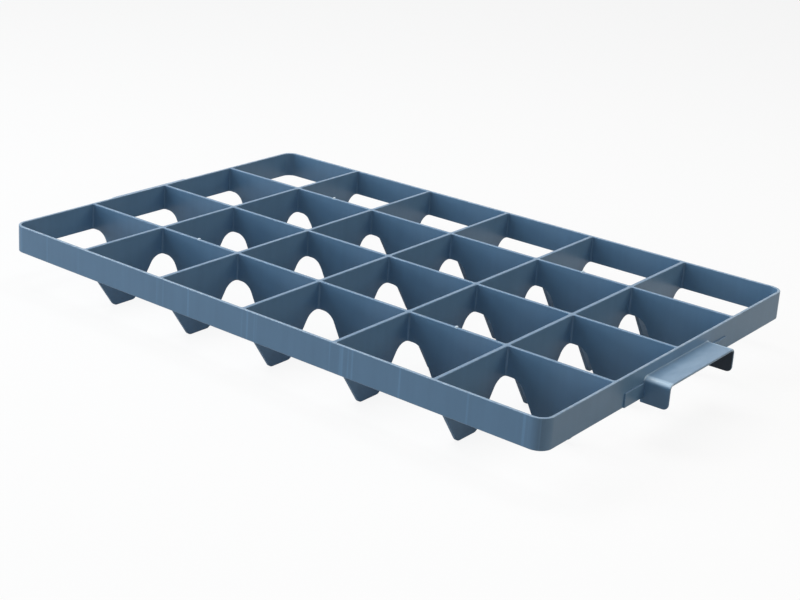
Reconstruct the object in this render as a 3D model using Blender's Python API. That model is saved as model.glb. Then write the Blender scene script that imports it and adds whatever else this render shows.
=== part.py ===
"""Open divider tray: a round-cornered rim, slotted dividers with toothed lower edges, and a lug at each end.

The long side lies along X and the short side along Y, with x = y = 0 in the middle. The cross dividers'
teeth stand on z = 0, and those of the long dividers end a little above it.
"""

import math

import bmesh
import bpy
from mathutils import Vector

# Driving dimensions, in metres
RIM_LENGTH = 0.560
RIM_WIDTH = 0.374
RIM_HEIGHT = 0.0245
RIM_WALL = 0.0024
RIM_CORNER_RADIUS = 0.0115

CELLS_LONG = 6
CELLS_ACROSS = 4
LONG_DIVIDER_THICKNESS = 0.0028
CROSS_DIVIDER_THICKNESS = 0.0032
LONG_TOOTH_DROP = 0.0334
LONG_ARCH_HALF_WIDTH = 0.0149
LONG_END_ARCH_WIDTH = 0.0149
LONG_TOOTH_FOOT = 0.0284
CROSS_TOOTH_DROP = 0.0355
CROSS_ARCH_HALF_WIDTH = 0.0111
CROSS_END_ARCH_WIDTH = 0.0093
CROSS_TOOTH_FOOT = 0.0243
ARCH_RADIUS = 0.012
TOOTH_CORNER_RADIUS = 0.005
GROOVE_DEPTH = 0.0008
CLEARANCE = 0.0003
GATE_NUB_LENGTH = 0.003
GATE_NUB_HEIGHT = 0.0012

LUG_WIDTH = 0.104
LUG_REACH = 0.0215
LUG_BELOW_RIM = 0.0084
LUG_FLANGE_HEIGHT = 0.0205
LUG_SHEET = 0.002
LUG_BEND_RADIUS = 0.0045
LUG_FLANGE_CORNER_RADIUS = 0.0045

PAD_LENGTH = 0.160
PAD_HEIGHT = 0.0119
PAD_THICKNESS = 0.001

# Steps in a quarter turn of an arc
ARC_STEPS = 6
# Share of an edge that an arc may take, beside a sharp corner and beside a rounded one
SHARE_BESIDE_SHARP = 0.95
SHARE_BESIDE_ROUNDED = 0.48
# Points nearer than this are one point, and edges sharper than this stay crisp
WELD_DISTANCE = 0.000003
CRISP_ANGLE = math.radians(35)

# Levels and places that follow from the driving dimensions
RIM_BOTTOM = max(LONG_TOOTH_DROP, CROSS_TOOTH_DROP)
RIM_TOP = RIM_BOTTOM + RIM_HEIGHT
PITCH_LONG = (RIM_LENGTH - RIM_WALL) / CELLS_LONG
PITCH_ACROSS = (RIM_WIDTH - RIM_WALL) / CELLS_ACROSS
SLOT_FOR_LONG = LONG_DIVIDER_THICKNESS + 2 * CLEARANCE
SLOT_FOR_CROSS = CROSS_DIVIDER_THICKNESS + 2 * CLEARANCE
LUG_TOP = RIM_TOP - LUG_BELOW_RIM
LUG_BOTTOM = LUG_TOP - LUG_FLANGE_HEIGHT
UPRIGHT = math.pi / 2

# Moulded plastic colours, linear RGB, and its finish
RIM_COLOUR = (0.120, 0.190, 0.262, 1.0)
LONG_DIVIDER_COLOUR = (0.112, 0.184, 0.262, 1.0)
CROSS_DIVIDER_COLOUR = (0.106, 0.172, 0.244, 1.0)
LUG_COLOUR = (0.130, 0.205, 0.275, 1.0)
PLASTIC_ROUGHNESS = 0.48
PLASTIC_METALLIC = 0.0


def clear_scene():
    for old in list(bpy.data.objects):
        bpy.data.objects.remove(old, do_unlink=True)


def new_collection(name):
    collection = bpy.data.collections.new(name)
    bpy.context.scene.collection.children.link(collection)
    return collection


def moulded_plastic(name, colour):
    material = bpy.data.materials.new(name)
    material.use_nodes = True
    shader = material.node_tree.nodes["Principled BSDF"]
    shader.inputs["Base Color"].default_value = colour
    shader.inputs["Roughness"].default_value = PLASTIC_ROUGHNESS
    shader.inputs["Metallic"].default_value = PLASTIC_METALLIC
    return material


def grid_lines(cells, pitch):
    """Places of the dividers between the cells, measured from the middle."""
    return [(index - cells / 2) * pitch for index in range(1, cells)]


def arc_room(edge, neighbour):
    """How far along an edge an arc may start, so that it clears the arc of the corner at the other end."""
    share = SHARE_BESIDE_ROUNDED if neighbour[2] > 0 else SHARE_BESIDE_SHARP
    return share * edge.length


def rounded(corners):
    """Points of a closed outline. Each corner is (x, y, radius), and a radius rounds it with an arc."""
    points = []
    for index, (x, y, radius) in enumerate(corners):
        corner = Vector((x, y))
        if radius <= 0:
            points.append(corner)
            continue
        last = corners[index - 1]
        following = corners[(index + 1) % len(corners)]
        before = Vector(last[:2]) - corner
        after = Vector(following[:2]) - corner
        half_angle = before.angle(after) / 2
        room = min(arc_room(before, last), arc_room(after, following))
        tangent = min(radius / math.tan(half_angle), room)
        fitted = tangent * math.tan(half_angle)
        middle = (before.normalized() + after.normalized()).normalized()
        centre = corner + middle * (fitted / math.sin(half_angle))
        start = corner + before.normalized() * tangent - centre
        turn = start.angle_signed(corner + after.normalized() * tangent - centre)
        steps = max(2, math.ceil(ARC_STEPS * abs(turn) / UPRIGHT))
        for step in range(steps + 1):
            angle = -turn * step / steps
            spun = Vector((
                start.x * math.cos(angle) - start.y * math.sin(angle),
                start.x * math.sin(angle) + start.y * math.cos(angle),
            ))
            points.append(centre + spun)
    return points


def flat_plate(name, outlines, thickness, collection):
    """A plate of even thickness, centred on its own XY plane. Outlines after the first are holes."""
    curve = bpy.data.curves.new(name, "CURVE")
    curve.dimensions = "2D"
    curve.fill_mode = "BOTH"
    curve.extrude = thickness / 2
    for outline in outlines:
        spline = curve.splines.new("POLY")
        spline.points.add(len(outline) - 1)
        for point, place in zip(spline.points, outline):
            point.co = (place.x, place.y, 0.0, 1.0)
        spline.use_cyclic_u = True
    plate = bpy.data.objects.new(name, curve)
    collection.objects.link(plate)
    return plate


def whole_plate(name, outline, thickness, collection):
    """A plate without holes: one face, pulled to its thickness and centred on its own XY plane."""
    shape = bmesh.new()
    face = shape.faces.new([shape.verts.new((place.x, place.y, -thickness / 2)) for place in outline])
    pulled = bmesh.ops.extrude_face_region(shape, geom=[face], use_keep_orig=True)
    far_side = [element for element in pulled["geom"] if isinstance(element, bmesh.types.BMVert)]
    bmesh.ops.translate(shape, verts=far_side, vec=(0.0, 0.0, thickness))
    bmesh.ops.recalc_face_normals(shape, faces=shape.faces)
    mesh = bpy.data.meshes.new(name)
    shape.to_mesh(mesh)
    shape.free()
    mesh.shade_smooth()
    mesh.set_sharp_from_angle(angle=CRISP_ANGLE)
    plate = bpy.data.objects.new(name, mesh)
    collection.objects.link(plate)
    return plate


def as_mesh(plate, collection):
    """The same solid as a closed mesh, so that it can be cut or can cut."""
    bpy.context.view_layer.update()
    evaluated = plate.evaluated_get(bpy.context.evaluated_depsgraph_get())
    mesh = bpy.data.meshes.new_from_object(evaluated)
    welded = bmesh.new()
    welded.from_mesh(mesh)
    bmesh.ops.remove_doubles(welded, verts=welded.verts, dist=WELD_DISTANCE)
    bmesh.ops.recalc_face_normals(welded, faces=welded.faces)
    welded.to_mesh(mesh)
    welded.free()
    mesh.shade_smooth()
    mesh.set_sharp_from_angle(angle=CRISP_ANGLE)
    name = plate.name
    place = plate.matrix_world.copy()
    bpy.data.objects.remove(plate, do_unlink=True)
    solid = bpy.data.objects.new(name, mesh)
    solid.matrix_world = place
    collection.objects.link(solid)
    return solid


def make_cutter(solid):
    solid.hide_render = True
    solid.display_type = "WIRE"


def add_boolean(solid, cutter, operation):
    cut = solid.modifiers.new(cutter.name, "BOOLEAN")
    cut.object = cutter
    cut.operation = operation
    cut.solver = "EXACT"


def finish(solid, material, parent):
    solid.data.materials.append(material)
    solid.parent = parent


def rim_inner_outline():
    """Inner face of the rim: each side has one upright groove for every divider that ends there."""
    half_length = RIM_LENGTH / 2 - RIM_WALL
    half_width = RIM_WIDTH / 2 - RIM_WALL
    radius = max(RIM_CORNER_RADIUS - RIM_WALL, 0.0)
    sides = [
        (half_length, half_width, grid_lines(CELLS_LONG, PITCH_LONG), SLOT_FOR_CROSS),
        (half_width, half_length, grid_lines(CELLS_ACROSS, PITCH_ACROSS), SLOT_FOR_LONG),
    ]
    corners = []
    for turn in range(4):
        along, out, lines, width = sides[turn % 2]
        side = [(-along, -out, radius)]
        for line in lines:
            left = line - width / 2
            right = line + width / 2
            floor = -out - GROOVE_DEPTH
            side += [(left, -out, 0), (left, floor, 0), (right, floor, 0), (right, -out, 0)]
        for _ in range(turn):
            side = [(-y, x, r) for x, y, r in side]
        corners += side
    return rounded(corners)


def make_rim(collection):
    half_length = RIM_LENGTH / 2
    half_width = RIM_WIDTH / 2
    outer = rounded([
        (-half_length, -half_width, RIM_CORNER_RADIUS),
        (half_length, -half_width, RIM_CORNER_RADIUS),
        (half_length, half_width, RIM_CORNER_RADIUS),
        (-half_length, half_width, RIM_CORNER_RADIUS),
    ])
    rim = flat_plate("rim_frame", [outer, rim_inner_outline()], RIM_HEIGHT, collection)
    rim.location.z = (RIM_BOTTOM + RIM_TOP) / 2
    return rim


def divider_outline(cells, pitch, teeth, slots, gates):
    """Side view of a divider: straight top, an arch under every crossing and a tooth under every cell.

    Teeth are (drop, width of foot, half width of arch, width of end arch). Slots are (places, width, whether
    they open on top), and gates are the places of nubs on the top edge.
    """
    drop, foot, arch, end_arch = teeth
    foot_level = RIM_BOTTOM - drop
    slot_lines, slot_width, slots_on_top = slots
    half_span = cells * pitch / 2
    end = half_span - RIM_WALL / 2 + GROOVE_DEPTH - CLEARANCE
    slot_floor = (RIM_BOTTOM + RIM_TOP) / 2
    slot_gap = -CLEARANCE / 2 if slots_on_top else CLEARANCE / 2
    lower = [(-end, RIM_BOTTOM, 0)]
    for cell in range(cells):
        left = cell * pitch - half_span
        right = left + pitch
        middle = (left + right) / 2
        left_arch = end_arch if cell == 0 else arch
        right_arch = end_arch if cell == cells - 1 else arch
        lower += [
            (left + left_arch, RIM_BOTTOM, ARCH_RADIUS),
            (middle - foot / 2, foot_level, TOOTH_CORNER_RADIUS),
            (middle + foot / 2, foot_level, TOOTH_CORNER_RADIUS),
            (right - right_arch, RIM_BOTTOM, ARCH_RADIUS),
        ]
        if not slots_on_top and cell < cells - 1:
            lower += slot(slot_lines[cell], slot_width, RIM_BOTTOM, slot_floor + slot_gap)
    lower.append((end, RIM_BOTTOM, 0))
    features = [slot(gate, GATE_NUB_LENGTH, RIM_TOP, RIM_TOP + GATE_NUB_HEIGHT) for gate in gates]
    if slots_on_top:
        features += [slot(line, slot_width, RIM_TOP, slot_floor + slot_gap) for line in slot_lines]
    upper = [(-end, RIM_TOP, 0)]
    for corners in sorted(features):
        upper += corners
    upper.append((end, RIM_TOP, 0))
    return rounded(lower + upper[::-1])


def slot(line, width, mouth, floor):
    """Corners of an open slot for a crossing divider, or of a nub, from left to right."""
    left = line - width / 2
    right = line + width / 2
    return [(left, mouth, 0), (left, floor, 0), (right, floor, 0), (right, mouth, 0)]


def make_long_dividers(collection):
    """The outer ones carry two nubs each, where the plastic ran into the mould."""
    slots = (grid_lines(CELLS_LONG, PITCH_LONG), SLOT_FOR_CROSS, True)
    teeth = (LONG_TOOTH_DROP, LONG_TOOTH_FOOT, LONG_ARCH_HALF_WIDTH, LONG_END_ARCH_WIDTH)
    dividers = []
    for number, line in enumerate(grid_lines(CELLS_ACROSS, PITCH_ACROSS), start=1):
        gates = [] if number == 2 else [-1.5 * PITCH_LONG, 1.5 * PITCH_LONG]
        outline = divider_outline(CELLS_LONG, PITCH_LONG, teeth, slots, gates)
        divider = whole_plate(f"long_divider_{number}", outline, LONG_DIVIDER_THICKNESS, collection)
        divider.location.y = line
        divider.rotation_euler = (UPRIGHT, 0.0, 0.0)
        dividers.append(divider)
    return dividers


def make_cross_dividers(collection):
    slots = (grid_lines(CELLS_ACROSS, PITCH_ACROSS), SLOT_FOR_LONG, False)
    teeth = (CROSS_TOOTH_DROP, CROSS_TOOTH_FOOT, CROSS_ARCH_HALF_WIDTH, CROSS_END_ARCH_WIDTH)
    outline = divider_outline(CELLS_ACROSS, PITCH_ACROSS, teeth, slots, [])
    dividers = []
    for number, line in enumerate(grid_lines(CELLS_LONG, PITCH_LONG), start=1):
        divider = whole_plate(f"cross_divider_{number}", outline, CROSS_DIVIDER_THICKNESS, collection)
        divider.location.x = line
        divider.rotation_euler = (UPRIGHT, 0.0, UPRIGHT)
        dividers.append(divider)
    return dividers


def lug_section():
    """End view of a lug: a flat top with two flanges bent down at its ends, left long to be trimmed."""
    half_width = LUG_WIDTH / 2
    inner_half = half_width - LUG_SHEET
    inner_top = LUG_TOP - LUG_SHEET
    inner_radius = max(LUG_BEND_RADIUS - LUG_SHEET, 0.0)
    bottom = LUG_BOTTOM - LUG_SHEET
    return rounded([
        (-half_width, bottom, 0),
        (-inner_half, bottom, 0),
        (-inner_half, inner_top, inner_radius),
        (inner_half, inner_top, inner_radius),
        (inner_half, bottom, 0),
        (half_width, bottom, 0),
        (half_width, LUG_TOP, LUG_BEND_RADIUS),
        (-half_width, LUG_TOP, LUG_BEND_RADIUS),
    ])


def flange_outline():
    """Side view of a lug, larger at its top and inner end, with the flange's free corner rounded."""
    inner = -LUG_SHEET
    top = LUG_TOP + LUG_SHEET
    return rounded([
        (inner, top, 0),
        (inner, LUG_BOTTOM, 0),
        (LUG_REACH, LUG_BOTTOM, LUG_FLANGE_CORNER_RADIUS),
        (LUG_REACH, top, 0),
    ])


def make_lug(name, side, parts, cutters):
    """A lug on the end wall at x = side * half the rim's length, cut clear of the pad behind it."""
    wall = side * RIM_LENGTH / 2
    depth = LUG_REACH + LUG_SHEET - CLEARANCE
    lug = flat_plate(name, [lug_section()], depth, parts)
    lug.location.x = wall + side * (CLEARANCE + depth / 2)
    lug.rotation_euler = (UPRIGHT, 0.0, side * UPRIGHT)
    lug = as_mesh(lug, parts)

    corners = flat_plate(f"{name}_corners", [flange_outline()], LUG_WIDTH + 2 * LUG_SHEET, cutters)
    corners.location.x = wall
    corners.rotation_euler = (UPRIGHT, 0.0, 0.0 if side > 0 else 2 * UPRIGHT)
    corners = as_mesh(corners, cutters)
    make_cutter(corners)
    add_boolean(lug, corners, "INTERSECT")

    seat = make_pad(f"{name}_seat", side, cutters, CLEARANCE)
    make_cutter(seat)
    add_boolean(lug, seat, "DIFFERENCE")
    return lug


def make_pad(name, side, collection, grown=0.0):
    """The raised pad low on the end wall, or the room round it when grown by a clearance."""
    half_length = PAD_LENGTH / 2 + grown
    bottom = RIM_BOTTOM - grown
    top = RIM_BOTTOM + PAD_HEIGHT + grown
    outline = rounded([
        (-half_length, bottom, 0),
        (half_length, bottom, 0),
        (half_length, top, 0),
        (-half_length, top, 0),
    ])
    pad = flat_plate(name, [outline], PAD_THICKNESS + 2 * grown, collection)
    pad.location.x = side * (RIM_LENGTH / 2 + CLEARANCE + PAD_THICKNESS / 2)
    pad.rotation_euler = (UPRIGHT, 0.0, side * UPRIGHT)
    return as_mesh(pad, collection)


def main():
    clear_scene()
    parts = new_collection("divider_tray")
    cutters = new_collection("divider_tray_cutters")
    tray = bpy.data.objects.new("tray_origin", None)
    parts.objects.link(tray)

    finish(make_rim(parts), moulded_plastic("rim_plastic", RIM_COLOUR), tray)

    long_plastic = moulded_plastic("long_divider_plastic", LONG_DIVIDER_COLOUR)
    for divider in make_long_dividers(parts):
        finish(divider, long_plastic, tray)

    cross_plastic = moulded_plastic("cross_divider_plastic", CROSS_DIVIDER_COLOUR)
    for divider in make_cross_dividers(parts):
        finish(divider, cross_plastic, tray)

    lug_plastic = moulded_plastic("lug_plastic", LUG_COLOUR)
    pad_plastic = moulded_plastic("lug_pad_plastic", RIM_COLOUR)
    for end, side in (("left", -1), ("right", 1)):
        finish(make_lug(f"{end}_lug", side, parts, cutters), lug_plastic, tray)
        finish(make_pad(f"{end}_lug_pad", side, parts), pad_plastic, tray)


main()
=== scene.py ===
# %% [markdown]
# # An open divider tray, dressed as moulded plastic
#
# This lesson takes the plain solids of a divider tray and gives each one its finished look. The tray is
# a low rim with a grid of thin dividers that hold pots or plugs apart, and a lug at each end most likely
# hangs it in a crate. The solids already have the right size and place, so they act as a ruler throughout.

import math

import bmesh
import bpy
from mathutils import Matrix, Quaternion, Vector


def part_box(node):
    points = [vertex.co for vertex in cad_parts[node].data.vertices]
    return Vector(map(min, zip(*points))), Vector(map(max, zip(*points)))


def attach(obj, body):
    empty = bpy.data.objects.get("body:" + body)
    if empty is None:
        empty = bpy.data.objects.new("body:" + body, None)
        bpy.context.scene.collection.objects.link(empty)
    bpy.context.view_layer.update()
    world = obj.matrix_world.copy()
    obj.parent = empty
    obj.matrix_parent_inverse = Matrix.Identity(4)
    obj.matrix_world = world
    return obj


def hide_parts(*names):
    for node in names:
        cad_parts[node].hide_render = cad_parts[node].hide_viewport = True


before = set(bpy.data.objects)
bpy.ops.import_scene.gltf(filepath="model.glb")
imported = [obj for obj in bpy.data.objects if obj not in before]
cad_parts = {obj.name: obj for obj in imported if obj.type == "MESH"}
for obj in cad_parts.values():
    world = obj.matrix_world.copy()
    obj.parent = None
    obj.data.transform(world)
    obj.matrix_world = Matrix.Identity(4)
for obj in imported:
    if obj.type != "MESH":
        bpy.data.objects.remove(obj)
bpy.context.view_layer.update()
MM = 0.001
print("solids:", ", ".join(sorted(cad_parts)))

# %% [markdown]
# ## The camera comes first
#
# With the camera in place, every later render can be laid beside the photograph. A camera can be aimed
# with a Track To constraint, or by turning it to a direction by hand. Here it is turned to a direction and
# then rolled a little, because the photograph leans by a few degrees. The photograph is probably a cut from
# a larger one, because its middle isn't where the lens seems to have pointed. A lens has a shift for that,
# but the shift stays when the camera is moved round the tray. So the camera is tied to a tripod, with a skew
# in the tie that slides the picture sideways, and a camera that leaves its tripod sees straight again.

# %% Camera
CAMERA_PLACE = Vector((0.7606, -1.0178, 0.5005))
CAMERA_AIM = Vector((-0.0436, -0.0719, 0.1150))
CAMERA_ROLL = math.radians(2.671)
CAMERA_LENS_MM = 69.62
PICTURE_SKEW = (-0.0653, 0.0649)

bpy.ops.object.empty_add()
tripod = bpy.context.object
tripod.name = "camera_tripod"
bpy.ops.object.camera_add(location=CAMERA_PLACE)
camera = bpy.context.object
camera.name = "studio_camera"
camera.data.lens = CAMERA_LENS_MM
camera.rotation_mode = "QUATERNION"
facing = (CAMERA_AIM - CAMERA_PLACE).to_track_quat("-Z", "Y")
camera.rotation_quaternion = facing @ Quaternion((0, 0, 1), CAMERA_ROLL)
straight = Matrix.LocRotScale(camera.location, camera.rotation_quaternion, None)
camera.parent = tripod
camera.matrix_parent_inverse = straight @ Matrix.Shear("XY", 4, PICTURE_SKEW) @ straight.inverted()
bpy.context.scene.camera = camera
print("camera is", round((CAMERA_AIM - CAMERA_PLACE).length, 3), "m from the tray")

# %% [markdown]
# ## Sizes, read from the solids
#
# The boxes of the solids give the rim, the divider lines and the lugs. Only what a box can't tell, such as
# the slope of a tooth or the size of a fillet, is written here as a value in millimetres.

# %% Sizes
rim_low, rim_high = (Vector(corner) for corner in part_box("rim_frame"))
RIM_BOTTOM = rim_low.z
RIM_TOP = rim_high.z
RIM_WALL = 2.4 * MM
RIM_CORNER_RADIUS = 11.5 * MM
EDGE_ROUND = 0.6 * MM
CROSSING_FILLET = 1.7 * MM


def node_centre(node):
    """The middle of a solid's box."""
    low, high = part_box(node)
    return (Vector(low) + Vector(high)) / 2


def node_size(node):
    """The sides of a solid's box."""
    low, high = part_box(node)
    return Vector(high) - Vector(low)


long_lines = [node_centre(f"long_divider_{number}").y for number in (1, 2, 3)]
cross_lines = [node_centre(f"cross_divider_{number}").x for number in (1, 2, 3, 4, 5)]
PITCH_LONG = cross_lines[1] - cross_lines[0]
LONG_THICKNESS = node_size("long_divider_1").y
CROSS_THICKNESS = node_size("cross_divider_1").x
print("rim", [round(side / MM, 1) for side in rim_high - rim_low], "mm")

# %% [markdown]
# ## Small helpers for working by hand in code
#
# In the viewport a modeller clicks on the faces they want. In a script the same choice is made by a test on
# a face's place. These helpers deselect everything, start a block at its size, and select by such a test.

# %% Helpers for shapes
NEAR = 0.02 * MM


def deselect_all():
    bpy.ops.object.select_all(action="DESELECT")


def start_block(name, low, high):
    """A cube primitive stretched between two corners, with its place in its mesh, in edit mode."""
    deselect_all()
    low, high = Vector(low), Vector(high)
    bpy.ops.mesh.primitive_cube_add(size=1, location=(low + high) / 2, scale=high - low)
    bpy.ops.object.transform_apply(location=True, rotation=True, scale=True)
    block = bpy.context.object
    block.name = name
    bpy.ops.object.mode_set(mode="EDIT")
    return block


def pick(piece, kind, test):
    """Selects the vertices, edges or faces, by kind, whose corner places all pass a test."""
    bpy.ops.mesh.select_mode(type=kind)
    bpy.ops.mesh.select_all(action="DESELECT")
    shape = bmesh.from_edit_mesh(piece.data)
    elements = {"VERT": shape.verts, "EDGE": shape.edges, "FACE": shape.faces}[kind]
    for element in elements:
        corners = [element.co] if kind == "VERT" else [corner.co for corner in element.verts]
        element.select_set(test(corners))
    shape.select_flush_mode()
    bmesh.update_edit_mesh(piece.data)


def cut_across(axis, place, **clear):
    """Bisects all of the mesh in edit mode with a plane square to an axis."""
    normal = [0.0, 0.0, 0.0]
    normal["XYZ".index(axis)] = 1.0
    bpy.ops.mesh.select_all(action="SELECT")
    bpy.ops.mesh.bisect(plane_co=[place * share for share in normal], plane_no=normal, **clear)


def all_at(corners, axis, place):
    """True where every corner lies at one place along an axis."""
    return all(abs(getattr(corner, axis) - place) < NEAR for corner in corners)


def between(corners, axis, low, high):
    """True where every corner lies between two places along an axis."""
    return all(low - NEAR < getattr(corner, axis) < high + NEAR for corner in corners)


def fillet_reach(radius, turn):
    """How far from a corner a fillet of some radius starts, where the outline turns by an angle."""
    return radius * math.tan(turn / 2)


print("shape helpers ready")

# %% [markdown]
# ## Small helpers for finishing a piece
#
# Every piece ends in the same way. A Bevel modifier rounds its crisp edges, its normals are smoothed over
# the rounds and kept flat on the flats, and it takes the place of its solid. Rounding by hand, edge by edge,
# would give the same shape, but a modifier finds the edges by their angle.

# %% Helpers for finishing
def apply_modifier(piece, kind, **settings):
    """Adds a modifier in object mode, sets it up and applies it."""
    modifier = piece.modifiers.new(kind.lower(), kind)
    for setting, value in settings.items():
        setattr(modifier, setting, value)
    bpy.context.view_layer.objects.active = piece
    bpy.ops.object.modifier_apply(modifier=modifier.name)


def round_edges(piece, width):
    """Rounds every crisp edge, as a mould does."""
    apply_modifier(
        piece, "BEVEL", width=width, segments=3, limit_method="ANGLE",
        angle_limit=math.radians(50), use_clamp_overlap=False,
    )


def smooth_shading(piece):
    """Smooth over the rounds, flat on the flats: weighting by area keeps the broad faces true."""
    deselect_all()
    piece.select_set(True)
    bpy.context.view_layer.objects.active = piece
    bpy.ops.object.shade_smooth_by_angle(angle=math.radians(40))
    apply_modifier(piece, "WEIGHTED_NORMAL", keep_sharp=True)


def stand_in(piece, *nodes):
    """Puts the piece in place of its solids, on the tray's one body."""
    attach(piece, "root")
    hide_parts(*nodes)


def copy_to(pattern, name, place, quarter_turns=0):
    """A copy of a modelled piece with its own mesh, turned and moved, with its place in its mesh."""
    deselect_all()
    copy = pattern.copy()
    copy.data = pattern.data.copy()
    copy.name = name
    bpy.context.collection.objects.link(copy)
    copy.rotation_euler.z = quarter_turns * math.pi / 2
    copy.location = place
    copy.select_set(True)
    bpy.context.view_layer.objects.active = copy
    bpy.ops.object.transform_apply(location=True, rotation=True, scale=True)
    return copy


print("finishing helpers ready")

# %% [markdown]
# ## The rim
#
# The rim is a thin upright wall with round corners. It could be swept along a curve, but a block is quicker:
# bevel its four upright edges, inset the top and the bottom by the wall, and bridge the two insets, which
# opens the middle. A last small bevel rounds the edges as the mould does.

# %% Rim
def model_rim():
    rim = start_block("rim_moulding", rim_low, rim_high)
    pick(rim, "EDGE", lambda c: abs(c[0].z - c[1].z) > NEAR)
    bpy.ops.mesh.bevel(offset=RIM_CORNER_RADIUS, segments=14)
    pick(rim, "FACE", lambda c: all_at(c, "z", RIM_TOP) or all_at(c, "z", RIM_BOTTOM))
    bpy.ops.mesh.inset(thickness=RIM_WALL)
    bpy.ops.mesh.bridge_edge_loops()
    bpy.ops.object.mode_set(mode="OBJECT")
    round_edges(rim, EDGE_ROUND)
    smooth_shading(rim)
    stand_in(rim, "rim_frame")
    return rim


rim_piece = model_rim()
print("rim:", len(rim_piece.data.polygons), "faces")

# %% [markdown]
# ## The teeth of a divider
#
# Each divider is a thin upright plate. Under every cell a tapered tooth hangs from it, so that an arch is
# left under each crossing. The plate could be drawn as an outline and extruded, but working from a block
# shows each feature by itself: a tooth is extruded from the underside, its foot is narrowed, and bevels
# round its tips and the arch beside it.

# %% Divider teeth
ARCH_RADIUS = 12 * MM
TOOTH_CORNER_RADIUS = 5 * MM


def teeth_between(lines, reach, arch, end_arch, foot):
    """Root and foot of the tooth under every cell: (root left, root right, foot left, foot right)."""
    ends = [-reach + RIM_WALL / 2, *lines, reach - RIM_WALL / 2]
    teeth = []
    for cell in range(len(ends) - 1):
        left, right = ends[cell], ends[cell + 1]
        middle = (left + right) / 2
        root_left = left + (end_arch if cell == 0 else arch)
        root_right = right - (end_arch if cell == len(ends) - 2 else arch)
        teeth.append((root_left, root_right, middle - foot / 2, middle + foot / 2))
    return teeth


def pull_teeth(divider, teeth, drop):
    """Extrudes the teeth down from the underside and narrows their feet."""
    for root_left, root_right, foot_left, foot_right in teeth:
        pick(divider, "FACE", lambda c: all_at(c, "z", RIM_BOTTOM) and between(c, "x", root_left, root_right))
        bpy.ops.mesh.extrude_region_move(TRANSFORM_OT_translate={"value": (0, 0, -drop)})
        root_middle = (root_left + root_right) / 2
        narrow = (foot_right - foot_left) / (root_right - root_left)
        bpy.ops.transform.resize(value=(narrow, 1, 1), center_override=(root_middle, 0, 0))
        bpy.ops.transform.translate(value=((foot_left + foot_right) / 2 - root_middle, 0, 0))


def round_teeth(divider, teeth, drop):
    """Rounds the tips of the teeth and the arches between them."""
    root_left, _, foot_left, _ = teeth[1]
    slope = math.atan2(drop, foot_left - root_left)
    foot_level = RIM_BOTTOM - drop
    pick(divider, "EDGE", lambda c: all_at(c, "z", foot_level) and abs(c[0].x - c[1].x) < NEAR)
    bpy.ops.mesh.bevel(offset=fillet_reach(TOOTH_CORNER_RADIUS, slope), segments=6)
    roots = [place for tooth in teeth for place in tooth[:2]]
    pick(divider, "EDGE", lambda c: all_at(c, "z", RIM_BOTTOM) and any(all_at(c, "x", r) for r in roots))
    bpy.ops.mesh.bevel(offset=fillet_reach(ARCH_RADIUS, slope), segments=8)


print("tooth tools ready")

# %% [markdown]
# ## The crossings of a divider
#
# On the real tray a small fillet runs down every crossing. Joining two plates and rounding the seam is hard
# to control. So a stub of each divider that crosses is pulled out of the plate's sides, and a bevel of the
# inner corners makes the fillets. The stubs are later cut back and the crossing is halved, so that the two
# dividers share it without a gap: the cross dividers keep the upper half and the long ones the lower half.

# %% Divider crossings
STUB_LENGTH = 6 * MM
LAP_ROOM = 0.15 * MM
LAP_MARGIN = CROSSING_FILLET + LAP_ROOM
LAP_HEIGHT = (RIM_BOTTOM + RIM_TOP) / 2


def pull_stubs(divider, spans, half):
    """Pulls a stub out of both sides of the plate at each span, for the wall that crosses it there."""
    for side in (-1, 1):
        pick(divider, "FACE", lambda c: all_at(c, "y", side * half) and any(
            between(c, "x", low, high) for low, high in spans))
        bpy.ops.mesh.extrude_region_move(TRANSFORM_OT_translate={"value": (0, side * STUB_LENGTH, 0)})


def halve_crossings(divider, lines, lap, keep_upper):
    """Cuts half of each crossing away, where the divider that crosses passes through."""
    low, high = (0, LAP_HEIGHT) if keep_upper else (LAP_HEIGHT, 2 * RIM_TOP)
    for line in lines:
        cutter = start_block(
            "lap_cutter", (line - lap, -STUB_LENGTH, low), (line + lap, STUB_LENGTH, high))
        bpy.ops.object.mode_set(mode="OBJECT")
        apply_modifier(divider, "BOOLEAN", object=cutter, operation="DIFFERENCE", solver="EXACT")
        bpy.data.objects.remove(cutter, do_unlink=True)


print("crossing tools ready")

# %% [markdown]
# ## A whole divider
#
# The tools above are now put in order. Teeth and stubs could be blocks that are joined to the plate, but
# then every joint would need cleaning before a bevel. Here the plate is cut across wherever a stub or a tooth
# begins, because extrude needs faces of the right size. Once they are pulled, the cuts that are no longer
# needed are dissolved, so that the bevels run clean.

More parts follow.
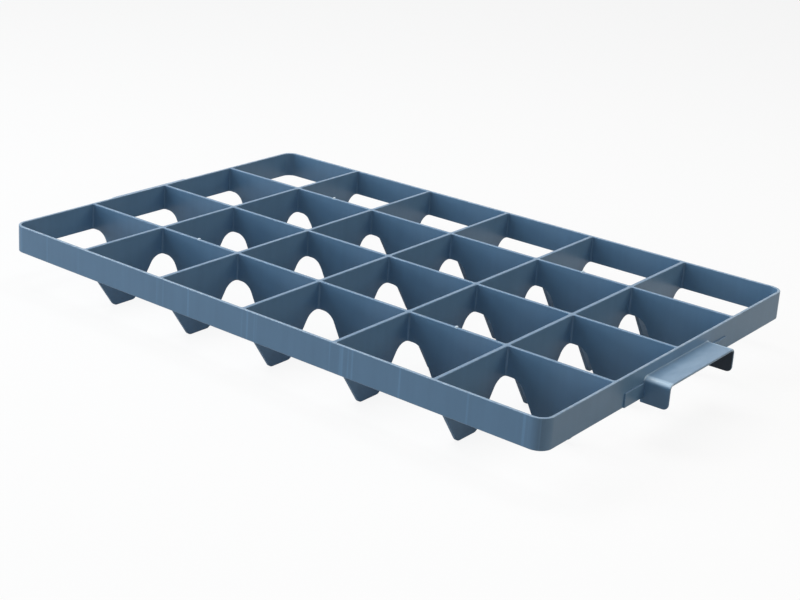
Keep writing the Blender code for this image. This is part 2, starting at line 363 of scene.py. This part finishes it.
# %% Divider
def model_divider(name, reach, lines, teeth, drop, thickness, crossing, keep_upper):
    """One divider along X, through the origin, where walls of the crossing thickness pass at some lines."""
    half = thickness / 2
    divider = start_block(name, (-reach, -half, RIM_BOTTOM), (reach, half, RIM_TOP))
    inner_wall = reach - RIM_WALL
    stubs = [(line - crossing / 2, line + crossing / 2) for line in lines]
    stubs += [(-reach, -inner_wall), (inner_wall, reach)]
    cuts = [place for span in stubs for place in span] + [place for tooth in teeth for place in tooth[:2]]
    for place in cuts:
        if abs(place) < reach:
            cut_across("X", place)
    pull_stubs(divider, stubs, half)
    pull_teeth(divider, teeth, drop)
    bpy.ops.mesh.select_all(action="SELECT")
    bpy.ops.mesh.dissolve_limited(angle_limit=math.radians(0.5))

    corners = [place for span in stubs for place in span if abs(place) < reach]
    pick(divider, "EDGE", lambda c: abs(c[0].z - c[1].z) > NEAR and abs(abs(c[0].y) - half) < NEAR
         and any(all_at(c, "x", place) for place in corners))
    bpy.ops.mesh.bevel(offset=CROSSING_FILLET, segments=5)
    round_teeth(divider, teeth, drop)
    bpy.ops.object.mode_set(mode="OBJECT")
    round_edges(divider, EDGE_ROUND)

    bpy.ops.object.mode_set(mode="EDIT")
    end = inner_wall + EDGE_ROUND
    cut_across("X", end, use_fill=True, clear_outer=True)
    cut_across("X", -end, use_fill=True, clear_inner=True)
    cut_across("Y", half + LAP_MARGIN, use_fill=True, clear_outer=True)
    cut_across("Y", -half - LAP_MARGIN, use_fill=True, clear_inner=True)
    bpy.ops.object.mode_set(mode="OBJECT")
    halve_crossings(divider, lines, crossing / 2 + LAP_MARGIN, keep_upper)
    return divider


print("divider tool ready")

# %% [markdown]
# ## The long dividers
#
# Three equal dividers run the long way, so one is modelled and copied. Two of them carry the scars of
# the mould's gates, where the molten plastic came in: a small nub on the top edge in two of the bays. A nub
# could be painted on, but a round peg that is joined to the edge catches the light as the real one does.

# %% Long dividers
LONG_ARCH = 14.9 * MM
LONG_END_ARCH = 14.9 * MM
LONG_FOOT = 28.4 * MM
LONG_TOOTH_DROP = 33.4 * MM
GATE_RADIUS = 1.3 * MM
GATE_SINK = 2.0 * MM
GATE_ROUND = 0.9 * MM
gate_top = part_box("long_divider_1")[1][2]
gate_places = [-1.5 * PITCH_LONG, 1.5 * PITCH_LONG]


def add_gate(divider, place, line):
    """A nub that stands a little above a divider's top edge."""
    deselect_all()
    height = gate_top - RIM_TOP + GATE_SINK
    centre = (place, line, gate_top - height / 2)
    bpy.ops.mesh.primitive_cylinder_add(vertices=24, radius=GATE_RADIUS, depth=height, location=centre)
    nub = bpy.context.object
    round_edges(nub, GATE_ROUND)
    apply_modifier(divider, "BOOLEAN", object=nub, operation="UNION", solver="EXACT")
    bpy.data.objects.remove(nub, do_unlink=True)


long_reach = rim_high.x
long_teeth = teeth_between(cross_lines, long_reach, LONG_ARCH, LONG_END_ARCH, LONG_FOOT)
long_pattern = model_divider(
    "long_pattern", long_reach, cross_lines, long_teeth, LONG_TOOTH_DROP, LONG_THICKNESS, CROSS_THICKNESS,
    keep_upper=False)
long_pieces = []
for number, line in enumerate(long_lines, start=1):
    piece = copy_to(long_pattern, f"long_divider_moulding_{number}", (0, line, 0))
    if number != 2:
        for place in gate_places:
            add_gate(piece, place, line)
    smooth_shading(piece)
    stand_in(piece, f"long_divider_{number}")
    long_pieces.append(piece)
bpy.data.objects.remove(long_pattern, do_unlink=True)
print("long dividers:", len(long_pieces), "with", len(long_pieces[0].data.polygons), "faces each")

# %% [markdown]
# ## The cross dividers
#
# Five equal dividers run the short way. Their teeth are steeper and their arches narrower, so they get
# sizes of their own. They could be modelled across the tray, but one function serves both ways if the pattern
# is turned by a quarter turn as it is copied. The tray stands on their feet, so their teeth reach all the way
# down.

# %% Cross dividers
CROSS_ARCH = 11.1 * MM
CROSS_END_ARCH = 9.3 * MM
CROSS_FOOT = 24.3 * MM
CROSS_TOOTH_DROP = RIM_BOTTOM

cross_reach = rim_high.y
cross_teeth = teeth_between(long_lines, cross_reach, CROSS_ARCH, CROSS_END_ARCH, CROSS_FOOT)
cross_pattern = model_divider(
    "cross_pattern", cross_reach, long_lines, cross_teeth, CROSS_TOOTH_DROP, CROSS_THICKNESS, LONG_THICKNESS,
    keep_upper=True)
cross_pieces = []
for number, line in enumerate(cross_lines, start=1):
    piece = copy_to(cross_pattern, f"cross_divider_moulding_{number}", (line, 0, 0), quarter_turns=1)
    smooth_shading(piece)
    stand_in(piece, f"cross_divider_{number}")
    cross_pieces.append(piece)
bpy.data.objects.remove(cross_pattern, do_unlink=True)
print("cross dividers:", len(cross_pieces), "with", len(cross_pieces[0].data.polygons), "faces each")

# %% [markdown]
# ## The lugs
#
# A lug is a flat ledge on the end wall with both ends bent down. It could be cut from a block, but it is a
# sheet of even thickness, so it starts as a plane: extrude two edges down, bevel the bends, round the free
# corners, and let Solidify give it its wall. Its root is sunk in the end wall. A slab that lies just under
# the wall's face is joined to it, so that a bevel where sheet and slab meet makes the soft fillet.

# %% Lugs
LUG_SHEET = 2.0 * MM
LUG_BEND_RADIUS = 4.5 * MM
LUG_CORNER_RADIUS = 4.5 * MM
LUG_SINK = 1.6 * MM
LUG_EDGE_ROUND = 0.7 * MM
LUG_ROOT_FILLET = 0.9 * MM
ROOT_INSET = 0.03 * MM
ROOT_MARGIN = 3.0 * MM
lug_low, lug_high = (Vector(corner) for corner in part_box("right_lug"))


def bend_sheet(wall):
    """The sheet of the lug at the +X end: a plate with two ends bent down and their free corners rounded."""
    deselect_all()
    root = wall - LUG_SINK
    bpy.ops.mesh.primitive_plane_add(size=1, location=((root + lug_high.x) / 2, 0, lug_high.z))
    lug = bpy.context.object
    lug.name = "right_lug_moulding"
    lug.scale = (lug_high.x - root, lug_high.y - lug_low.y, 1)
    bpy.ops.object.transform_apply(location=True, rotation=True, scale=True)
    bpy.ops.object.mode_set(mode="EDIT")
    drop = lug_low.z - lug_high.z
    for end in (lug_low.y, lug_high.y):
        pick(lug, "EDGE", lambda c: all_at(c, "y", end))
        bpy.ops.mesh.extrude_region_move(TRANSFORM_OT_translate={"value": (0, 0, drop)})
    pick(lug, "EDGE", lambda c: all_at(c, "z", lug_high.z) and abs(c[0].y - c[1].y) < NEAR)
    bpy.ops.mesh.bevel(offset=LUG_BEND_RADIUS, segments=8)
    pick(lug, "VERT", lambda c: all_at(c, "z", lug_low.z) and all_at(c, "x", lug_high.x))
    bpy.ops.mesh.bevel(offset=LUG_CORNER_RADIUS, segments=6, affect="VERTICES")
    bpy.ops.mesh.select_all(action="SELECT")
    bpy.ops.mesh.normals_make_consistent(inside=False)
    bpy.ops.object.mode_set(mode="OBJECT")
    apply_modifier(lug, "SOLIDIFY", thickness=LUG_SHEET, offset=-1, use_even_offset=True)
    return lug


def model_lug():
    """The sheet on a slab that is hidden in the wall, with a fillet all round where the two meet."""
    wall = rim_high.x
    lug = bend_sheet(wall)
    round_edges(lug, LUG_EDGE_ROUND)
    face = wall - ROOT_INSET
    foot = RIM_BOTTOM + EDGE_ROUND
    slab_low = (wall - LUG_SINK - ROOT_INSET, lug_low.y - ROOT_MARGIN, foot)
    slab = start_block("root_slab", slab_low, (face, lug_high.y + ROOT_MARGIN, lug_high.z + ROOT_MARGIN))
    bpy.ops.object.mode_set(mode="OBJECT")
    apply_modifier(lug, "BOOLEAN", object=slab, operation="UNION", solver="EXACT")
    bpy.data.objects.remove(slab, do_unlink=True)

    deselect_all()
    lug.select_set(True)
    bpy.ops.object.mode_set(mode="EDIT")
    pick(lug, "EDGE", lambda c: all_at(c, "x", face) and between(c, "y", lug_low.y, lug_high.y)
         and between(c, "z", foot, lug_high.z) and not all_at(c, "z", foot))
    bpy.ops.mesh.bevel(offset=LUG_ROOT_FILLET, segments=6)
    bpy.ops.object.mode_set(mode="OBJECT")
    return lug


right_lug = model_lug()
left_lug = copy_to(right_lug, "left_lug_moulding", (0, 0, 0), quarter_turns=2)
for piece, node in ((right_lug, "right_lug"), (left_lug, "left_lug")):
    smooth_shading(piece)
    stand_in(piece, node)
print("lug:", len(right_lug.data.polygons), "faces")

# %% [markdown]
# ## The pads behind the lugs
#
# A thin step low on each end wall backs the lug. It could be extruded from the rim, but it is a piece of its
# own here, so it is a block whose back is sunk in the wall, and only its face and soft edges show.

# %% Pads
PAD_EDGE_ROUND = 0.7 * MM
PAD_SINK = 1.2 * MM
pad_low, pad_high = (Vector(corner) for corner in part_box("right_lug_pad"))


def model_pad():
    pad = start_block("right_pad_moulding", (rim_high.x - PAD_SINK, pad_low.y, pad_low.z), pad_high)
    bpy.ops.object.mode_set(mode="OBJECT")
    round_edges(pad, PAD_EDGE_ROUND)
    return pad


right_pad = model_pad()
left_pad = copy_to(right_pad, "left_pad_moulding", (0, 0, 0), quarter_turns=2)
for piece, node in ((right_pad, "right_lug_pad"), (left_pad, "left_lug_pad")):
    smooth_shading(piece)
    stand_in(piece, node)
print("pad:", len(right_pad.data.polygons), "faces")

# %% [markdown]
# ## Colour and nodes
#
# Two small functions carry all the materials: one turns a colour as an artist writes it into the linear
# numbers that Blender works in, and one adds a node and wires it up.

# %% Colour and nodes
def hex_linear(code):
    """An sRGB hex colour as the linear numbers that Blender's sockets take."""
    shares = [int(code[start:start + 2], 16) / 255 for start in (1, 3, 5)]
    linear = [share / 12.92 if share <= 0.04045 else ((share + 0.055) / 1.055) ** 2.4 for share in shares]
    return (*linear, 1.0)


def add_node(tree, kind, inputs=None, **settings):
    """Adds a node, sets it up, and fills its inputs by values, or by links from sockets or nodes."""
    node = tree.nodes.new(kind)
    for setting, value in settings.items():
        setattr(node, setting, value)
    for socket, value in (inputs or {}).items():
        if isinstance(value, bpy.types.Node):
            value = value.outputs[0]
        if isinstance(value, bpy.types.NodeSocket):
            tree.links.new(value, node.inputs[socket])
        else:
            node.inputs[socket].default_value = value
    return node


print("white is", hex_linear("#ffffff"))

# %% [markdown]
# ## Moulded polypropylene
#
# The tray is injection-moulded polypropylene, coloured through with a blue-grey pigment. A plain colour
# would look like a drawing. What the eye takes for moulded plastic is the slight cloudiness of the pigment,
# the upright streaks where the melt flowed down the walls, a paler top edge that is partly wear where the
# trays rub in a stack and partly a painted highlight, and a fine grain that softens the shine. All of them
# are placed by real lengths.

# %% Plastic tone
STREAK_SIZE = (6 * MM, 6 * MM, 140 * MM)
CLOUD_SIZE = 30 * MM
TONE_SWING = 0.07
EDGE_PATCH_SIZE = 6 * MM
EDGE_PALE_DEPTH = 0.7 * MM


def plastic_tone(tree, coords):
    """How much lighter or darker the pigment is from place to place, round 1."""
    stretched = add_node(tree, "ShaderNodeVectorMath", {0: coords, 1: STREAK_SIZE}, operation="DIVIDE")
    streaks = add_node(tree, "ShaderNodeTexNoise", {"Vector": stretched, "Scale": 1.0, "Detail": 4.0})
    clouds = add_node(tree, "ShaderNodeTexNoise", {"Vector": coords, "Scale": 1 / CLOUD_SIZE})
    streak_tone = add_node(
        tree, "ShaderNodeMapRange", {"Value": streaks, "To Min": 1 - TONE_SWING, "To Max": 1 + TONE_SWING})
    cloud_tone = add_node(
        tree, "ShaderNodeMapRange", {"Value": clouds, "To Min": -TONE_SWING, "To Max": TONE_SWING})
    return add_node(tree, "ShaderNodeMath", {0: streak_tone, 1: cloud_tone}, operation="ADD")


def top_edge_wear_and_sheen(tree, coords, least, most):
    """Patchy paler top edges: partly wear where one tray slides on another, and partly a painted highlight.
    """
    height = add_node(tree, "ShaderNodeSeparateXYZ", {0: coords}).outputs["Z"]
    at_edge = add_node(
        tree, "ShaderNodeMapRange", {"Value": height, "From Min": RIM_TOP - EDGE_PALE_DEPTH, "From Max": RIM_TOP},
        interpolation_type="SMOOTHSTEP")
    spots = add_node(tree, "ShaderNodeTexNoise", {"Vector": coords, "Scale": 1 / EDGE_PATCH_SIZE})
    patches = add_node(
        tree, "ShaderNodeMapRange",
        {"Value": spots, "From Min": 0.35, "From Max": 0.65, "To Min": least, "To Max": most},
        interpolation_type="SMOOTHSTEP")
    return add_node(tree, "ShaderNodeMath", {0: at_edge, 1: patches}, operation="MULTIPLY")


print("streaks are", round(STREAK_SIZE[0] / MM, 1), "mm wide")

# %% [markdown]
# ## The plastic as a material
#
# One function builds the material, so that every piece is plainly of the same plastic. What sets a piece
# apart, such as wear, a painted highlight or painted shade in one place, comes in as a function of its own. A
# single material with masks for all of them would work too, but it would be hard to read.

# %% Plastic
PIGMENT_COLOUR = "#6488a8"
# Pale colour of worn top edges, which also serves as their painted highlight
WORN_AND_SHEEN_COLOUR = "#a4bacd"
# Polypropylene's IOR is about 1.49, and it is set a little higher for a slightly stronger shine
PLASTIC_IOR = 1.53
# A satin mould gives a broad soft shine, a little uneven from grain to grain
LEAST_ROUGHNESS = 0.28
MOST_ROUGHNESS = 0.36
# The mould's own grain is finer, and this is as coarse as it has to be to show
GRAIN_SIZE = 0.5 * MM
GRAIN_DEPTH = 0.04 * MM
GRAIN_STRENGTH = 0.10


def moulded_polypropylene(name, edge_wear_and_sheen, worn_and_sheen_colour, extra_wear_and_sheen=None, extra_tone_and_shade=None):
    """The plastic, with the least and most wear and painted highlight on its top edge, their pale colour, and
    its own extra paleness and tone.
    """
    material = bpy.data.materials.new(name)
    material.use_nodes = True
    tree = material.node_tree
    coords = add_node(tree, "ShaderNodeTexCoord").outputs["Object"]

    # Through-coloured plastic: cloudy blue-grey, paler where it is worn and where a highlight is painted, and
    # darker where shade is painted
    tone = plastic_tone(tree, coords)
    if extra_tone_and_shade:
        tone = add_node(tree, "ShaderNodeMath", {0: tone, 1: extra_tone_and_shade(tree, coords)}, operation="ADD")
    pigment = add_node(
        tree, "ShaderNodeVectorMath", {0: hex_linear(PIGMENT_COLOUR)[:3], "Scale": tone}, operation="SCALE")
    wear_and_highlight_mix = top_edge_wear_and_sheen(tree, coords, *edge_wear_and_sheen)
    if extra_wear_and_sheen:
        wear_and_highlight_mix = add_node(tree, "ShaderNodeMath", {0: wear_and_highlight_mix, 1: extra_wear_and_sheen(tree, coords)}, operation="MAXIMUM")
    colour = add_node(
        tree, "ShaderNodeMix", {0: wear_and_highlight_mix, 6: pigment, 7: hex_linear(worn_and_sheen_colour)}, data_type="RGBA")

    # Fine grain from the mould: it breaks up the shine, so the plastic looks satin and not polished
    grain = add_node(tree, "ShaderNodeTexNoise", {"Vector": coords, "Scale": 1 / GRAIN_SIZE})
    roughness = add_node(
        tree, "ShaderNodeMapRange",
        {"Value": grain, "From Min": 0.3, "From Max": 0.7,
         "To Min": LEAST_ROUGHNESS, "To Max": MOST_ROUGHNESS},
        interpolation_type="SMOOTHSTEP")
    bump = add_node(
        tree, "ShaderNodeBump", {"Height": grain, "Strength": GRAIN_STRENGTH, "Distance": GRAIN_DEPTH})

    shader = tree.nodes["Principled BSDF"]
    shader.inputs["IOR"].default_value = PLASTIC_IOR
    tree.links.new(colour.outputs[2], shader.inputs["Base Color"])
    tree.links.new(roughness.outputs[0], shader.inputs["Roughness"])
    tree.links.new(bump.outputs[0], shader.inputs["Normal"])
    return material


print("pigment", PIGMENT_COLOUR, "and rubbed", WORN_AND_SHEEN_COLOUR)

# %% [markdown]
# ## The rim's finish
#
# On the rim's long walls a few upright lines show where streams of the melt met as the mould filled, and its
# lower edge carries a painted highlight, a pale line where the rounded edge would catch light from the floor.
# The lines could be drawn one by one, but noise that is squeezed along the wall gives lines of uneven spacing
# and strength, as the real ones have.

# %% Rim finish
FLOW_LINE_SIZE = (5 * MM, 400 * MM, 400 * MM)
FLOW_LINE_TONE = 0.2
# A painted highlight: a pale line along the rim's rounded lower edge
FOOT_HIGHLIGHT_DEPTH = 0.72 * MM
FOOT_PAINTED_HIGHLIGHT = 0.9


def flow_lines(tree, coords):
    """A few pale upright lines on the long walls, where two streams of the melt met."""
    across = add_node(tree, "ShaderNodeSeparateXYZ", {0: coords}).outputs["Y"]
    from_middle = add_node(tree, "ShaderNodeMath", {0: across}, operation="ABSOLUTE")
    on_long_wall = add_node(
        tree, "ShaderNodeMath", {0: from_middle, 1: rim_high.y - RIM_WALL}, operation="GREATER_THAN")
    squeezed = add_node(tree, "ShaderNodeVectorMath", {0: coords, 1: FLOW_LINE_SIZE}, operation="DIVIDE")
    streams = add_node(tree, "ShaderNodeTexNoise", {"Vector": squeezed, "Scale": 1.0, "Detail": 1.0})
    lines = add_node(
        tree, "ShaderNodeMapRange",
        {"Value": streams, "From Min": 0.64, "From Max": 0.74, "To Min": 0.0, "To Max": FLOW_LINE_TONE},
        interpolation_type="SMOOTHSTEP")
    return add_node(tree, "ShaderNodeMath", {0: lines, 1: on_long_wall}, operation="MULTIPLY")


def painted_foot_highlight(tree, coords):
    """A painted highlight: the rim's rounded lower edge is paler, as if it caught light from the floor."""
    height = add_node(tree, "ShaderNodeSeparateXYZ", {0: coords}).outputs["Z"]
    return add_node(
        tree, "ShaderNodeMapRange",
        {"Value": height, "From Min": RIM_BOTTOM, "From Max": RIM_BOTTOM + FOOT_HIGHLIGHT_DEPTH,
         "To Min": FOOT_PAINTED_HIGHLIGHT, "To Max": 0.0},
        interpolation_type="SMOOTHSTEP")


# To the eye: pale top edges, partly wear and partly a painted highlight, a painted highlight along the
# foot, and faint lines that say the wall was moulded
rim_plastic = moulded_polypropylene(
    "injection_moulded_polypropylene_rim", (0.3, 0.7), WORN_AND_SHEEN_COLOUR, painted_foot_highlight, flow_lines)
print(rim_plastic.name, "has", len(rim_plastic.node_tree.nodes), "nodes")

# %% [markdown]
# ## The dividers' finish
#
# Where the plastic was torn off at a gate it turns pale, so the nubs of the long dividers stand out as small
# light spots. A second material on the nub's faces would do, but a mask by place keeps one material to a
# piece. The cross dividers are only paler along their top edges.

# %% Divider finish
TORN_COLOUR = "#d4e6f2"


def gate_scars(tree, coords):
    """Pale torn plastic round the gates on the top edge."""
    place = add_node(tree, "ShaderNodeSeparateXYZ", {0: coords}).outputs
    along = add_node(tree, "ShaderNodeMath", {0: place["X"]}, operation="ABSOLUTE")
    past_gate = add_node(tree, "ShaderNodeMath", {0: along, 1: gate_places[1]}, operation="SUBTRACT")
    off_gate = add_node(tree, "ShaderNodeMath", {0: past_gate}, operation="ABSOLUTE")
    near_gate = add_node(
        tree, "ShaderNodeMapRange",
        {"Value": off_gate, "From Min": 0.7 * GATE_RADIUS, "From Max": 1.3 * GATE_RADIUS,
         "To Min": 1.0, "To Max": 0.0},
        interpolation_type="SMOOTHSTEP")
    from_middle = add_node(tree, "ShaderNodeMath", {0: place["Y"]}, operation="ABSOLUTE")
    on_gated_line = add_node(
        tree, "ShaderNodeMath", {0: from_middle, 1: long_lines[2] / 2}, operation="GREATER_THAN")
    near_top = add_node(
        tree, "ShaderNodeMapRange",
        {"Value": place["Z"], "From Min": RIM_TOP - EDGE_ROUND, "From Max": RIM_TOP},
        interpolation_type="SMOOTHSTEP")
    at_gate = add_node(tree, "ShaderNodeMath", {0: near_gate, 1: on_gated_line}, operation="MULTIPLY")
    return add_node(tree, "ShaderNodeMath", {0: at_gate, 1: near_top}, operation="MULTIPLY")


# To the eye: nearly even edges, with four pale dots
long_plastic = moulded_polypropylene(
    "injection_moulded_polypropylene_gated", (0.0, 0.08), TORN_COLOUR, gate_scars)
# To the eye: edges a little paler than the walls, which draws the cells
cross_plastic = moulded_polypropylene(
    "injection_moulded_polypropylene_cross", (0.05, 0.25), WORN_AND_SHEEN_COLOUR)
print(long_plastic.name, "and", cross_plastic.name)

# %% [markdown]
# ## The lugs' finish
#
# The top of a lug is paler in streaks along it, partly wear from the crate and partly painted light, and its
# bends carry a painted highlight. Under the ledge, between the bent ends, the plastic is darkened as painted
# shade. The shade could be a second layer of shader, but it is only a darker tone.

# %% Lug finish
# Pale colour of the lug's worn top, also used for the painted highlight on its bends
LUG_WEAR_AND_HIGHLIGHT_COLOUR = "#b0cde4"
LEDGE_STREAK_SIZE = (6 * MM, 18 * MM, 6 * MM)
LEDGE_LEAST_PALE = 0.18
LEDGE_MOST_PALE = 0.3
# Strength of the painted highlight on the bends
BEND_PAINTED_HIGHLIGHT = 0.8
# Painted shade: how much darker the plastic is under the ledge
UNDERSIDE_SHADE_TONE = -0.8


def ledge_wear_and_bend_highlight(tree, coords):
    """The lug's top is paler in streaks, partly wear and partly painted light, and its bends get a painted
    highlight.
    """
    place = add_node(tree, "ShaderNodeSeparateXYZ", {0: coords}).outputs
    on_top = add_node(
        tree, "ShaderNodeMapRange",
        {"Value": place["Z"], "From Min": lug_high.z - 0.75 * LUG_BEND_RADIUS,
         "From Max": lug_high.z - 0.3 * LUG_BEND_RADIUS},
        interpolation_type="SMOOTHSTEP")
    stretched = add_node(tree, "ShaderNodeVectorMath", {0: coords, 1: LEDGE_STREAK_SIZE}, operation="DIVIDE")
    streaks = add_node(tree, "ShaderNodeTexNoise", {"Vector": stretched, "Scale": 1.0})
    patches = add_node(
        tree, "ShaderNodeMapRange",
        {"Value": streaks, "From Min": 0.3, "From Max": 0.7,
         "To Min": LEDGE_LEAST_PALE, "To Max": LEDGE_MOST_PALE},
        interpolation_type="SMOOTHSTEP")
    from_middle = add_node(tree, "ShaderNodeMath", {0: place["Y"]}, operation="ABSOLUTE")
    at_bend = add_node(
        tree, "ShaderNodeMapRange",
        {"Value": from_middle, "From Min": lug_high.y - 1.5 * LUG_BEND_RADIUS,
         "From Max": lug_high.y - 0.7 * LUG_BEND_RADIUS, "To Min": 0.0, "To Max": BEND_PAINTED_HIGHLIGHT},
        interpolation_type="SMOOTHSTEP")
    rubbed_and_sheen = add_node(tree, "ShaderNodeMath", {0: patches, 1: at_bend}, operation="ADD")
    return add_node(tree, "ShaderNodeMath", {0: on_top, 1: rubbed_and_sheen}, operation="MULTIPLY")


def painted_underside_shade(tree, coords):
    """Painted shade under the ledge, between the flanges: the plastic is darker there."""
    place = add_node(tree, "ShaderNodeSeparateXYZ", {0: coords}).outputs
    from_middle = add_node(tree, "ShaderNodeMath", {0: place["Y"]}, operation="ABSOLUTE")
    between_flanges = add_node(
        tree, "ShaderNodeMapRange",
        {"Value": from_middle, "From Min": lug_high.y - LUG_SHEET, "From Max": lug_high.y - 0.7 * LUG_SHEET,
         "To Min": 1.0, "To Max": 0.0},
        interpolation_type="SMOOTHSTEP")
    below = add_node(
        tree, "ShaderNodeMapRange",
        {"Value": place["Z"], "From Min": lug_high.z - LUG_SHEET, "From Max": lug_high.z - 0.7 * LUG_SHEET,
         "To Min": UNDERSIDE_SHADE_TONE, "To Max": 0.0},
        interpolation_type="SMOOTHSTEP")
    return add_node(tree, "ShaderNodeMath", {0: between_flanges, 1: below}, operation="MULTIPLY")


# To the eye: a pale and streaky ledge, partly wear and partly painted light, painted highlights on its
# bends, and painted shade under it
lug_plastic = moulded_polypropylene(
    "injection_moulded_polypropylene_lug", (0.0, 0.0), LUG_WEAR_AND_HIGHLIGHT_COLOUR, ledge_wear_and_bend_highlight, painted_underside_shade)
# To the eye: the same plastic without wear, so the step stays quiet
pad_plastic = moulded_polypropylene(
    "injection_moulded_polypropylene_pad", (0.0, 0.0), WORN_AND_SHEEN_COLOUR)
print(lug_plastic.name, "and", pad_plastic.name)

# %% [markdown]
# ## Dressing the pieces
#
# Each piece gets its one material. It could be set on each piece as it is made, but a list in one place shows
# at a glance what is made of what.

# %% Dressing
dressings = [
    (rim_plastic, [rim_piece]),
    (long_plastic, long_pieces),
    (cross_plastic, cross_pieces),
    (lug_plastic, [right_lug, left_lug]),
    (pad_plastic, [right_pad, left_pad]),
]
for material, pieces in dressings:
    for piece in pieces:
        piece.data.materials.clear()
        piece.data.materials.append(material)
    print(material.name, "on", len(pieces))

# %% [markdown]
# ## Floor
#
# The photograph has a pure white ground. The floor is one large plane. To camera and shine it is mostly
# plain white, with a part left that takes light, so the tray keeps its shadow. To bounced light it is grey,
# because little light comes up into the cells of the real tray. Under the tray it mirrors less, because it
# lies in the tray's own shade there. A lit white floor would do without these tricks, but it would flood the
# cells with light.

# %% Floor
FLOOR_SIDE = 12.0
FLOOR_GAP = 0.2 * MM
FLOOR_WHITE_SHARE = 0.88
FLOOR_MIRRORED_SHARE = 0.4
SHADED_MIRRORED_SHARE = 0.12
SHADE_EDGE = 60 * MM
FLOOR_BOUNCE_COLOUR = "#909090"
FLOOR_SEEN_COLOUR = "#f8f8f8"


def seen_directly(tree, mirrored_share):
    """1 for rays straight from the camera, and a share for those that were mirrored or passed through."""
    rays = add_node(tree, "ShaderNodeLightPath").outputs
    bounced = {0: rays["Is Glossy Ray"], 1: rays["Is Transmission Ray"]}
    bent = add_node(tree, "ShaderNodeMath", bounced, operation="MAXIMUM")
    mirrored = add_node(tree, "ShaderNodeMath", {0: bent, 1: mirrored_share}, operation="MULTIPLY")
    return add_node(tree, "ShaderNodeMath", {0: rays["Is Camera Ray"], 1: mirrored}, operation="MAXIMUM")


def mirrored_by_floor(tree):
    """The share of its white that the floor mirrors, which is less in the shade of the tray."""
    coords = add_node(tree, "ShaderNodeTexCoord").outputs["Object"]
    place = add_node(tree, "ShaderNodeSeparateXYZ", {0: coords}).outputs
    along = add_node(tree, "ShaderNodeMath", {0: place["X"]}, operation="ABSOLUTE")
    across = add_node(tree, "ShaderNodeMath", {0: place["Y"]}, operation="ABSOLUTE")
    past_end = add_node(tree, "ShaderNodeMath", {0: along, 1: rim_high.x}, operation="SUBTRACT")
    past_side = add_node(tree, "ShaderNodeMath", {0: across, 1: rim_high.y}, operation="SUBTRACT")
    past_rim = add_node(tree, "ShaderNodeMath", {0: past_end, 1: past_side}, operation="MAXIMUM")
    return add_node(
        tree, "ShaderNodeMapRange",
        {"Value": past_rim, "From Min": 0.0, "From Max": SHADE_EDGE,
         "To Min": SHADED_MIRRORED_SHARE, "To Max": FLOOR_MIRRORED_SHARE},
        interpolation_type="SMOOTHSTEP")


deselect_all()
bpy.ops.mesh.primitive_plane_add(size=FLOOR_SIDE, location=(0, 0, -FLOOR_GAP))
floor = bpy.context.object
floor.name = "studio_floor"
bpy.ops.object.transform_apply(location=True, rotation=True, scale=True)

# Matt paint: no shine of its own, so that nothing competes with the tray
floor_paint = bpy.data.materials.new("rolled_matt_white_paint")
floor_paint.use_nodes = True
tree = floor_paint.node_tree
tree.nodes.clear()
seen = seen_directly(tree, mirrored_by_floor(tree))
share = add_node(tree, "ShaderNodeMath", {0: seen, 1: FLOOR_WHITE_SHARE}, operation="MULTIPLY")
colours = {0: seen, 6: hex_linear(FLOOR_BOUNCE_COLOUR), 7: hex_linear(FLOOR_SEEN_COLOUR)}
paint = add_node(tree, "ShaderNodeMix", colours, data_type="RGBA")
matt = add_node(tree, "ShaderNodeBsdfDiffuse", {"Color": paint.outputs[2]})
white = add_node(tree, "ShaderNodeEmission", {"Color": (1, 1, 1, 1), "Strength": 1.0})
mixed = add_node(tree, "ShaderNodeMixShader", {0: share, 1: matt, 2: white})
add_node(tree, "ShaderNodeOutputMaterial", {"Surface": mixed})
floor.data.materials.append(floor_paint)
print("floor", FLOOR_SIDE, "m")

# %% [markdown]
# ## World
#
# The world is plain white to the camera and in the shine of the plastic, and gives hardly any light itself.
# A bright world would light the tray evenly from all sides and take the shade out of the cells.

# %% World
WORLD_LIGHT = 0.03

world = bpy.data.worlds.new("studio_world")
bpy.context.scene.world = world
world.use_nodes = True
tree = world.node_tree
tree.nodes.clear()
dim = add_node(tree, "ShaderNodeBackground", {"Color": (1, 1, 1, 1), "Strength": WORLD_LIGHT})
bright = add_node(tree, "ShaderNodeBackground", {"Color": (1, 1, 1, 1), "Strength": 1.0})
mixed = add_node(tree, "ShaderNodeMixShader", {0: seen_directly(tree, 1.0), 1: dim, 2: bright})
add_node(tree, "ShaderNodeOutputWorld", {"Surface": mixed})
print("world light", WORLD_LIGHT)

# %% [markdown]
# ## Light
#
# The photograph was lit softly. Two lights above the tray make its top edges shine. Two cool lights from the
# front left lift the long wall and reach into the cells. A weak light in front and a warm one on the right
# light the end wall and the lug. Small lamps would give hard shadows, so all of them are large discs.

# %% Lights
COOL_LIGHT = "#e4f3ff"
PALE_LIGHT = "#eef5f8"
WARM_LIGHT = "#fff0de"
LIGHT_AIM = Vector((0, 0, 0.04))


def add_softbox(name, place, size, power, colour="#ffffff"):
    """A round soft light that faces the tray."""
    deselect_all()
    bpy.ops.object.light_add(type="AREA", location=place)
    lamp = bpy.context.object
    lamp.name = name
    lamp.data.shape = "DISK"
    lamp.data.size = size
    lamp.data.energy = power
    lamp.data.color = hex_linear(colour)[:3]
    lamp.rotation_mode = "QUATERNION"
    lamp.rotation_quaternion = (LIGHT_AIM - Vector(place)).to_track_quat("-Z", "Y")
    print(name, power, "W")


add_softbox("overhead_softbox", (0, 0, 1.8), 1.2, 14.5)
add_softbox("key_softbox", (-0.81, -0.22, 1.59), 0.8, 9)
add_softbox("left_softbox", (-2.4, -2.0, 2.0), 1.6, 34, COOL_LIGHT)
add_softbox("low_left_softbox", (-2.8, -2.8, 0.6), 1.2, 48, PALE_LIGHT)
add_softbox("front_softbox", (1.6, -1.7, 0.7), 1.0, 5.0)
add_softbox("right_softbox", (1.7, 0.6, 0.7), 0.8, 7.8, WARM_LIGHT)
bpy.context.scene.view_settings.view_transform = "Standard"
